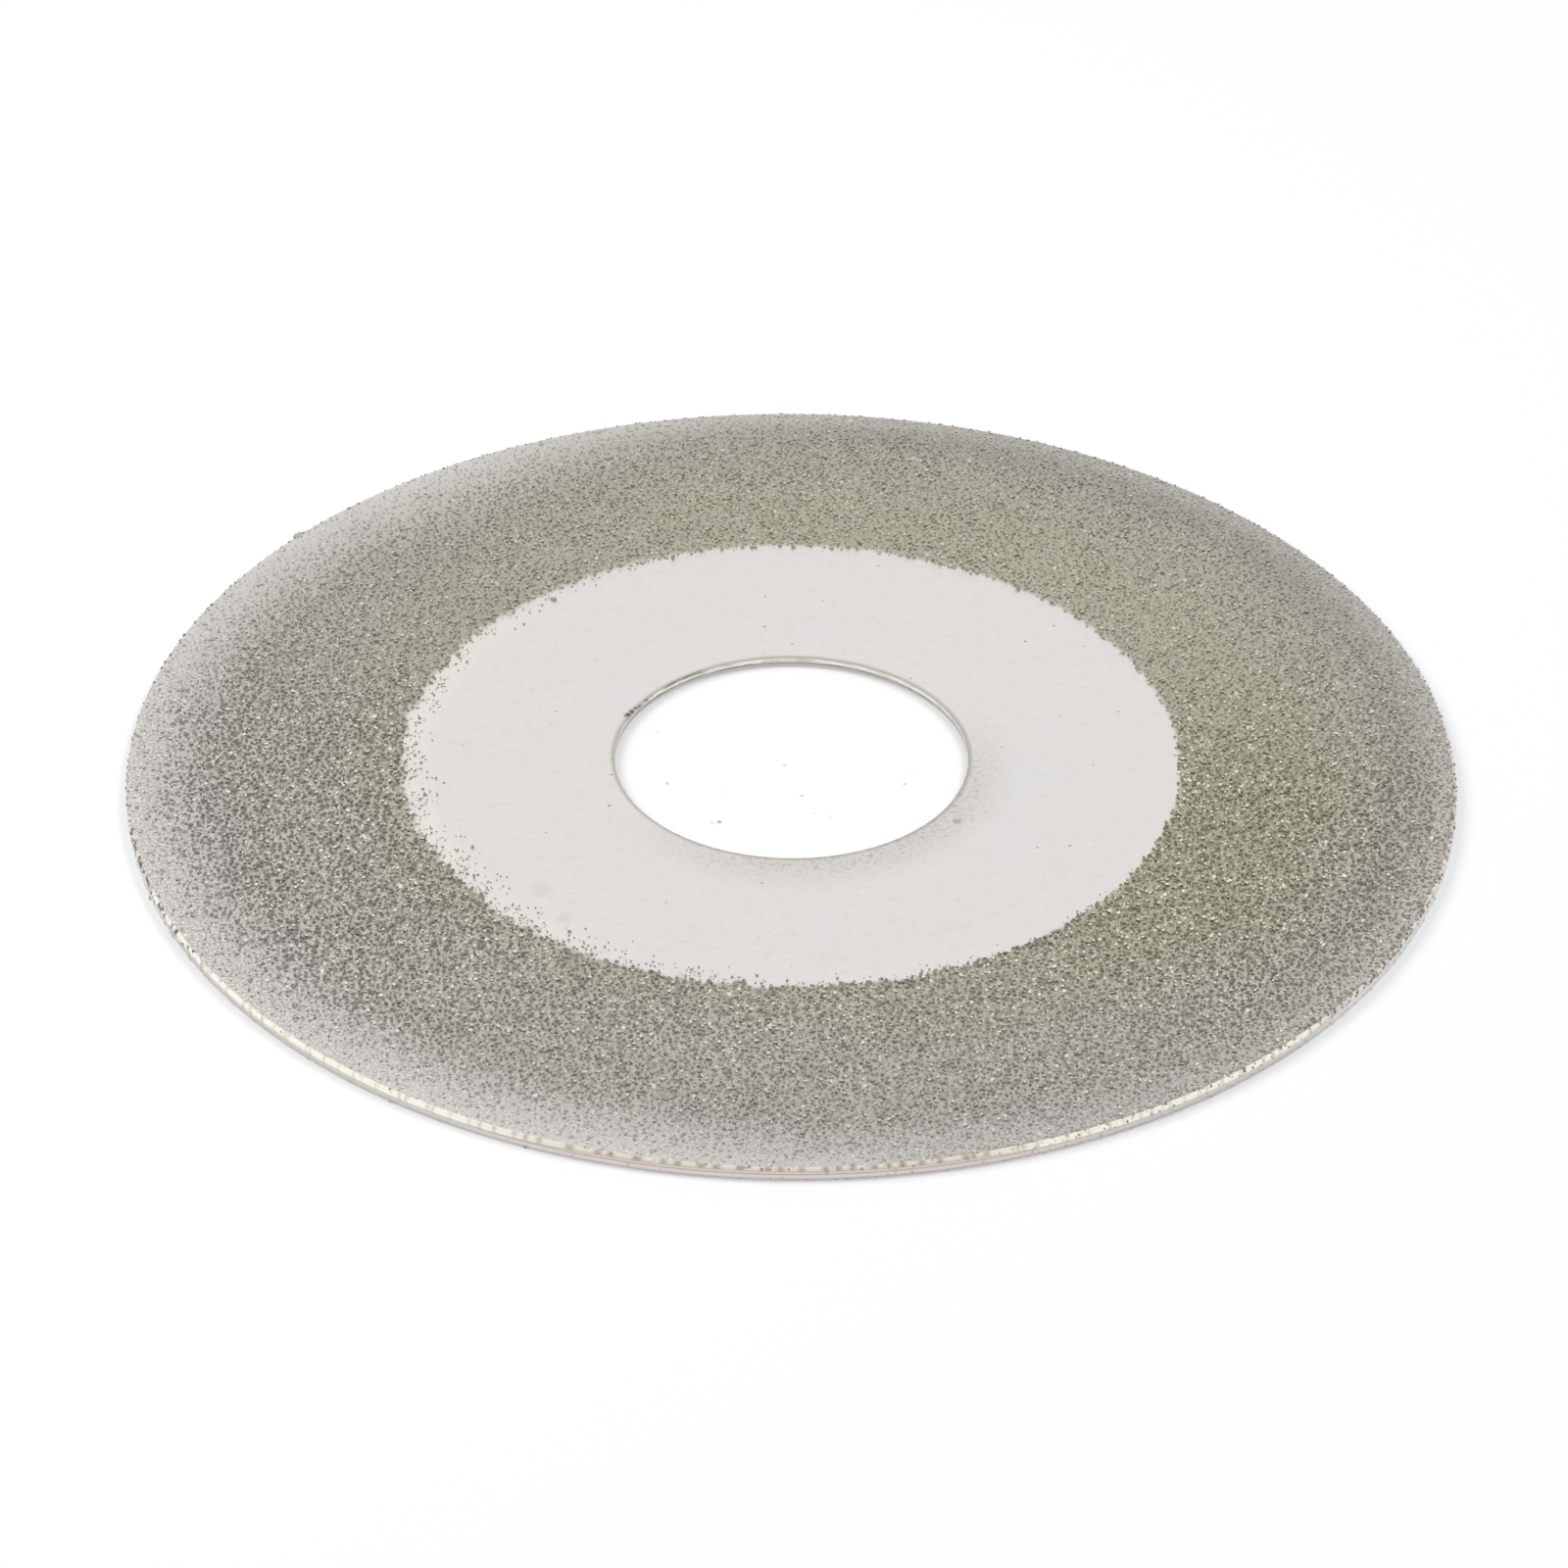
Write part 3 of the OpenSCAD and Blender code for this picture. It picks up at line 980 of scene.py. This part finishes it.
def makeNickelMaterial(look):
    material, tree, shader = newMaterial("nickelPlate", Metallic=1.0)
    bare = useGroup(tree, "bareMetal")
    green = useGroup(tree, "bandTone")["Olive"]
    inBand, pale = meshValue(tree, "band"), meshValue(tree, "pale")
    mud = times(cloud(tree, *look["mudPatches"]), inBand)
    # fine light and shade in the nickel between the crystals, cleaner where it is thick
    coat = blend(pale, blend(green, *look["metal"]), look["paleMetal"])
    fine = times(cloud(tree, *look["shadePatches"]), slide(pale, *look["shadeShares"]))
    coat = blend(fine, coat, blend(green, *look["shade"]))
    sparks = times(cloud(tree, *look["sparkPatches"]), most(slide(green, *look["sparkShares"]), pale))
    coat = blend(sparks, coat, blend(pale, *look["spark"]))
    coat = useGroup(tree, "evenTone", Colour=coat, Pale=pale)["Colour"]
    colour = blend(inBand, bare["Colour"], coat)
    plug(shader["Base Color"], paintRim(tree, colour, rimPaint))
    rough = slide(inBand, steelLook["roughness"], look["roughness"])
    plug(shader["Roughness"], plus(rough, times(mud, look["mudRoughness"])))
    addTooth(shader, plus(bare["Tooth"], times(mud, look["mudTooth"])), *look["tooth"])
    return material


nickelMaterial = makeNickelMaterial(nickel)


def nickelProfile(edge):
    # one section per angle, from the film's start over the face, down the rim and back under the coat
    steps, bead, shoulder = nickel["steps"], nickel["seamRadius"], nickel["shoulder"]
    filmR = nickel["maskEdge"] + (edge - nickel["maskEdge"]) * np.linspace(0, 1, steps["film"])
    filmZ = np.full_like(filmR, nickel["film"])
    filmZ[:, 0] = nickel["filmTuck"]
    shoulderStart = wheel["land"] - shoulder
    bandR = edge + (shoulderStart - edge) * np.linspace(0, 1, steps["band"])[1:]
    # from the shoulder on, the section is the same all round
    half = wheel["faces"]["upper"] - wheel["seam"]
    arc = np.linspace(0, math.pi / 2, steps["shoulder"])[1:]
    land = np.linspace(wheel["brim"] - shoulder, bead - half, steps["land"])[1:]
    turn = np.linspace(0, math.pi / 2, steps["bead"])[1:]
    back = wheel["coreRim"] + nickel["coreGap"]
    rimR = np.concatenate([shoulderStart + shoulder * np.sin(arc), np.full(len(land), wheel["land"]),
                           wheel["land"] - bead * (1 - np.cos(turn)), [back, back, nickel["maskEdge"]]])
    rimZ = np.concatenate([wheel["brim"] - shoulder * (1 - np.cos(arc)), land,
                           bead * (1 - np.sin(turn)) - half, [-half, -nickel["etch"], -nickel["etch"]]])
    radii = np.concatenate([filmR, bandR, np.tile(rimR, (len(edge), 1))], 1)
    levels = np.concatenate([filmZ, coatLevel(bandR, edge), np.tile(rimZ, (len(edge), 1))], 1)
    return radii, levels, filmR.shape[1] + bandR.shape[1]


def stripMap(radii, levels):
    # the ring cut into four strips, laid one above the other
    ribs, steps = radii.shape
    run = np.hypot(*(np.diff(line, axis=1, append=line[:, :1]) for line in (radii, levels)))
    along = np.concatenate([[0], np.cumsum(run.mean(0))])
    # the hidden back of the ring gets little room
    hidden = along[-3]
    along = np.where(along > hidden, hidden + (along - hidden) * nickel["backRoom"], along)
    along = along / along[-1]
    rib = np.arange(ribs)[:, None, None] + np.array([0, 1, 1, 0])
    step = np.arange(steps)[None, :, None] + np.array([0, 0, 1, 1])
    quarter = (np.arange(ribs) * 4 // ribs)[:, None, None]
    u = (rib * 4 / ribs - quarter) * (1 - 2 * mapMargin) + mapMargin
    v = (quarter + 2 * mapMargin + (1 - 4 * mapMargin) * along[step]) / 4
    return np.stack(np.broadcast_arrays(u, v), -1).reshape(-1, 4, 2)


def crystalLift(places, radius, angles, reach):
    # nickel climbs the crystals it holds: 1 beside one, falling to 0 away from it
    tree = KDTree(len(radius))
    for index, crystal in enumerate(ringPlaces(radius, angles, 0)):
        tree.insert(crystal, index)
    tree.balance()
    away = np.array([tree.find(place)[2] for place in places.reshape(-1, 3)])
    return np.exp(-(away / reach) ** 2).reshape(places.shape[:2])


def makeNickel(face, plating, radius, angles):
    rng = drawsOf(plating, "nickel")
    ribs = nickel["ribs"]
    turn = (np.arange(ribs) * 2 * math.pi / ribs)[:, None]
    edge = bandEdge(plating, turn)
    radii, levels, shown = nickelProfile(edge)
    steps = radii.shape[1]
    coated = slice(nickel["steps"]["film"], shown)
    lift = crystalLift(ringPlaces(radii, turn, 0)[:, coated], radius, angles, nickel["climbReach"])
    ripple = rng.normal(0, 1, radii.shape)[:, coated] * nickel["ripple"]
    inside = wheel["land"] - nickel["shoulder"] - radii[:, coated]
    eased = np.clip(inside / nickel["smoothWidth"], 0, 1)
    levels[:, coated] += (lift * nickel["climb"] + ripple) * eased
    points = ringPlaces(radii, turn, wheel["faces"][face] + outward[face] * levels).reshape(-1, 3)
    rib = np.arange(ribs)[:, None] * steps
    nextRib = (rib + steps) % (ribs * steps)
    step = np.arange(steps)
    nextStep = (step + 1) % steps
    faces = np.stack([rib + step, nextRib + step, nextRib + nextStep, rib + nextStep], -1).reshape(-1, 4)
    flat = stripMap(radii, levels)
    if face == "upper":
        faces, flat = faces[:, ::-1], flat[:, ::-1]
    band = np.clip((radii - edge) / (nickel["bandShare"] * nickel["rise"]), 0, 1)
    pale = paleShare(radii, turn, plating)
    makePiece(f"{face}_nickel", points, faces, nickelMaterial, [f"{face}_bond"], smooth=True,
              marks={"band": band.ravel(), "pale": pale.ravel()}, flatMap=flat.reshape(-1, 2))


# Crystals round the shoulder and down the land
rimGrit = {
    "density": 9.0,
    "jitter": 0.4,  # share of the spacing
    "rows": (0.618, 0.1),  # step from row to row between neighbours, and its scatter
    "seamGap": 0.04 * mm,
    "width": (0.15 * mm, 0.28 * mm),
    "height": (0.01 * mm, 0.07 * mm),
    "heightDraw": (1.2, 2.5),
    "slid": 0.4,  # what is left of the lower ones, where the wheel has slid on the bench
    "smooth": (240.0, 7, 0.90),  # few crystals show on this side: angle, narrowness, share that is lost
    # the light crystals' colour; on the stretches of painted highlight more of them take it
    "cream": tint(248, 243, 230),
    "creamTones": (0.65, 0.80),
    # on the stretches of painted highlight the crystals are lifted towards cream, a painted highlight too
    "highlightLift": 0.4,  # the rim's zones shift the tones
    "brokenDrop": 0.12,
    # elsewhere and on the golden side
    "middle": (tint(176, 171, 163), tint(216, 204, 174)),
    "middleTones": (0.45, 0.60),
    "dark": (tint(100, 90, 81), tint(168, 151, 130)),
    "lowShare": 0.85,
    "plated": (0.35, 0.55),
    "metallic": 0.9,
}


def makeRimMaterial(look):
    material, tree, shader = newMaterial("rimDiamond", Roughness=0.25, IOR=1.8)
    zones = useGroup(tree, "rimZones")
    gold = zones["Gold"]
    # crystals lighter on the painted highlight stretches
    tone = plus(meshValue(tree, "tone"), times(zones["Highlight"], look["highlightLift"]))
    tone = less(tone, times(zones["Broken"], look["brokenDrop"]))
    body = blend(fade(tone, *look["middleTones"]), blend(gold, *look["dark"]), blend(gold, *look["middle"]))
    body = blend(fade(tone, *look["creamTones"]), body, look["cream"])
    # crystals below the foot take the lower band's painted reflection and shade
    body = blend(times(zones["Below"], look["lowShare"]), body, zones["LowColour"])
    plated = coverSides(tree, meshValue(tree, "climb"), *look["plated"])
    # the nickel on their sides takes the band's colours, with their painted highlight, reflection and shade
    metal = blend(zones["Below"], zones["BrightColour"], zones["LowColour"])
    plug(shader["Base Color"], blend(plated, body, metal))
    plug(shader["Metallic"], times(plated, look["metallic"]))
    return material


rimMaterial = makeRimMaterial(rimGrit)


def makeRimGrit(face, plating):
    rng = drawsOf(plating, "rim")
    shoulder = nickel["shoulder"]
    half = wheel["faces"]["upper"] - wheel["seam"]
    arcLow = wheel["brim"] - shoulder
    arcRun = shoulder * math.pi / 2
    run = arcRun + arcLow + half - nickel["seamRadius"] - rimGrit["seamGap"]
    count = int(2 * math.pi * wheel["land"] * run / mm ** 2 * rimGrit["density"])
    order = np.arange(count)
    angles = 2 * math.pi * (order + rng.uniform(-rimGrit["jitter"], rimGrit["jitter"], count)) / count
    # neighbours lie in different rows
    apart, loose = rimGrit["rows"]
    along = run * np.mod(order * apart + rng.uniform(-loose, loose, count), 1)
    toward, narrowness, lost = rimGrit["smooth"]
    kept = rng.uniform(0, 1, count) < 1 - lost * towardShare(angles, toward) ** narrowness
    angles, along = angles[kept], along[kept]
    count = len(angles)
    tip = np.clip(along / arcRun, 0, 1) * math.pi / 2
    radius = wheel["land"] - shoulder * (1 - np.sin(tip))
    level = arcLow + shoulder * np.cos(tip) - np.clip(along - arcRun, 0, None)
    places = ringPlaces(radius, angles, wheel["faces"][face] + outward[face] * level)
    frames = standAlong(ringPlaces(np.sin(tip), angles, outward[face] * np.cos(tip)), angles)
    widths = rng.uniform(*rimGrit["width"], count)
    low, high = rimGrit["height"]
    heights = low + (high - low) * rng.beta(*rimGrit["heightDraw"], count)
    if face == "lower":
        heights = heights * rimGrit["slid"]
    ceiling = np.full(count, high)
    points, faces, marks = growMixed(rng, places, frames, widths, heights, ceiling, np.zeros(count))
    # tips that would stand past the wheel's own box are worn flat
    reach = np.hypot(points[:, 0], points[:, 1])
    points[:, :2] *= np.minimum(1, wheel["rim"] / reach)[:, None]
    points[:, 2] = np.clip(points[:, 2], 0, wheel["top"])
    makePiece(f"{face}_rim_crystals", points, faces, rimMaterial, [f"{face}_rim_grains"],
              marks=marks)
    print(face, "rim crystals:", count)


for face, plating in passes.items():
    radius, angles = makeGrit(face, plating)
    makeStrays(face, plating)
    makeNickel(face, plating, radius, angles)
    makeRimGrit(face, plating)
print("wheel dressed")


# White table, soft light and the camera
studio = {
    "tableSize": 3.0,
    "tableWhite": (0.86, 0.86, 0.86, 1.0),
    "glow": (0.22, 0.60),  # lifts the table to white, and far off more
    "glowRing": (120.0, 600.0),
    # crumbs on the table inside the bore: x and y in millimetres, size, strength
    "crumbs": ((-7.7, 3.1, 0.30, 0.25), (-0.4, -0.1, 0.24, 0.55), (-7.0, -2.0, 0.30, 0.55),
               (0.6, -3.1, 0.26, 0.55), (-3.9, -2.8, 0.24, 0.25), (6.4, -1.9, 0.26, 0.60),
               (6.8, -1.0, 0.20, 0.30), (1.3, -4.8, 0.20, 0.35), (2.2, -5.1, 0.20, 0.40),
               (-4.0, -5.7, 0.32, 1.0), (-4.4, -5.8, 0.22, 0.45)),
    "crumb": tint(186, 184, 178),
    "white": (1.0, 1.0, 1.0, 1.0),
    "skyDiffuse": 0.50,
    "skyTint": (0.88, 0.92, 1.0, 1.0),
    "lampTint": (1.0, 0.975, 0.915),
    "openSide": 0.82,  # brightness of the tent's open side, in reflections
    "opening": (0.25, 0.85),
    "eye": 297.3 * mm,  # from the camera to the point it looks at
    "look": (-0.41 * mm, -3.20 * mm, 0.86 * mm),
    "elevation": 34.75,
    "roll": 0.366,
    "lens": 121.80,
    "clip": (0.01, 20.0),
    "lamps": (
        # name, azimuth, elevation, distance, side, power
        ("leftLamp", 175.0, 50.0, 0.6, 0.38, 1.35),
        ("rightLamp", 8.0, 60.0, 0.6, 0.26, 0.85),
    ),
}


def watchRays(tree):
    # which rays come from the camera, which from a mirror, and which from either
    path = newNode(tree, "LightPath")
    camera, mirror = path["Is Camera Ray"], path["Is Glossy Ray"]
    return camera, mirror, most(camera, mirror)


def makeTable(look):
    half = look["tableSize"] / 2
    mesh = bpy.data.meshes.new("table")
    corners = [(-half, -half, 0), (half, -half, 0), (half, half, 0), (-half, half, 0)]
    mesh.from_pydata(corners, [], [(0, 1, 2, 3)])
    table = addThing("table", mesh)
    material, tree, shader = newMaterial("whiteTable", Roughness=0.6, Specular_IOR_Level=0.0,
                                         Emission_Color=look["white"])
    crumbs = 0.0
    for x, y, size, strength in look["crumbs"]:
        crumbs = most(times(dab(tree, x, y, size), strength), crumbs)
    plug(shader["Base Color"], blend(crumbs, look["tableWhite"], look["crumb"]))
    glow = slide(beyond(tree, *look["glowRing"]), *look["glow"])
    plug(shader["Emission Strength"], times(glow, flip(crumbs), watchRays(tree)[2]))
    mesh.materials.append(material)


def makeSky(look):
    world = bpy.data.worlds.new("softTent")
    world.use_nodes = True
    tree = world.node_tree
    background = tree.nodes["Background"].inputs
    camera, mirror, either = watchRays(tree)
    opening = fade(times(parts(tree, "Generated")[1], -1.0), *look["opening"])
    level = slide(mirror, look["skyDiffuse"], slide(opening, 1.0, look["openSide"]))
    plug(background["Strength"], slide(camera, level, 1.0))
    plug(background["Color"], blend(either, look["skyTint"], look["white"]))
    scene.world = world


def makeLamps(look):
    for name, azimuth, elevation, distance, side, power in look["lamps"]:
        data = bpy.data.lights.new(name, "AREA")
        data.shape = "DISK"
        data.size = side
        data.energy = power
        data.color = look["lampTint"]
        lamp = addThing(name, data)
        a, e = math.radians(azimuth), math.radians(elevation)
        toward = Vector((math.cos(a) * math.cos(e), math.sin(a) * math.cos(e), math.sin(e)))
        lamp.location = toward * distance
        lamp.rotation_mode = "QUATERNION"
        lamp.rotation_quaternion = (-lamp.location).to_track_quat("-Z", "Y")
        lamp.visible_glossy = False  # behind the tent's cloth, so it is not mirrored as a disc


def makeCamera(look):
    data = bpy.data.cameras.new("camera")
    data.sensor_width = 36.0
    data.lens = look["lens"]
    data.clip_start, data.clip_end = look["clip"]
    camera = addThing("camera", data)
    e = math.radians(look["elevation"])
    roll = math.radians(look["roll"])
    back = Vector((0, -math.cos(e), math.sin(e)))
    side = Vector((1, 0, 0))
    above = back.cross(side)
    right = math.cos(roll) * side + math.sin(roll) * above
    up = -math.sin(roll) * side + math.cos(roll) * above
    where = Vector(look["look"]) + look["eye"] * back
    turn = Matrix((right, up, back)).transposed().to_4x4()
    camera.matrix_world = Matrix.Translation(where) @ turn
    scene.camera = camera


makeTable(studio)
makeSky(studio)
makeLamps(studio)
makeCamera(studio)
scene.view_settings.view_transform = "Standard"
print("studio ready")
